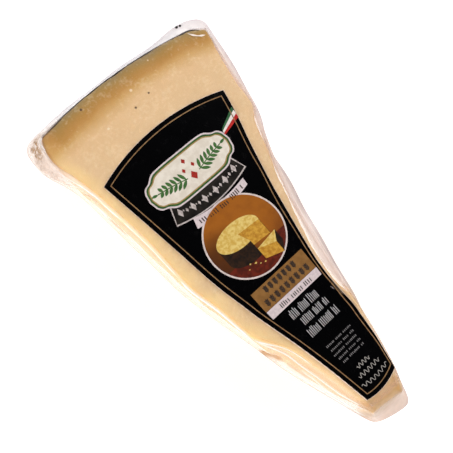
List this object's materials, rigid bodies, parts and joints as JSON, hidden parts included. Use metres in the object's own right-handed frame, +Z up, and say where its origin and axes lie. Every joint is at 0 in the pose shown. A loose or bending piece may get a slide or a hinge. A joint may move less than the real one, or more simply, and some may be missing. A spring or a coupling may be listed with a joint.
{
  "type": "vacuum-packed cheese wedge",
  "caption": "Wedge of black-rind grana-type cheese, shrunk into a clear vacuum pouch with a wavy side fin and a black wedge-shaped label.",
  "frame": {"origin": "under the middle of the pack's outer box, on the surface that the pack lies on", "axes": "+Y from the cut tip towards the rind, +X to the right seen from above with the rind away from the viewer, +Z up through the label"},
  "size_m": [0.084, 0.164, 0.0326],
  "materials": {
    "cheese": "matt cream paste of a hard cheese, a little darker in a band along the rind",
    "rind": "black coated rind",
    "film": "clear glossy vacuum film, milky where it is folded",
    "label": "printed film label, black with fields of colour"
  },
  "bodies": {
    "root": {"vacuum_pack": "cheese", "label": "label"}
  },
  "joints": []
}
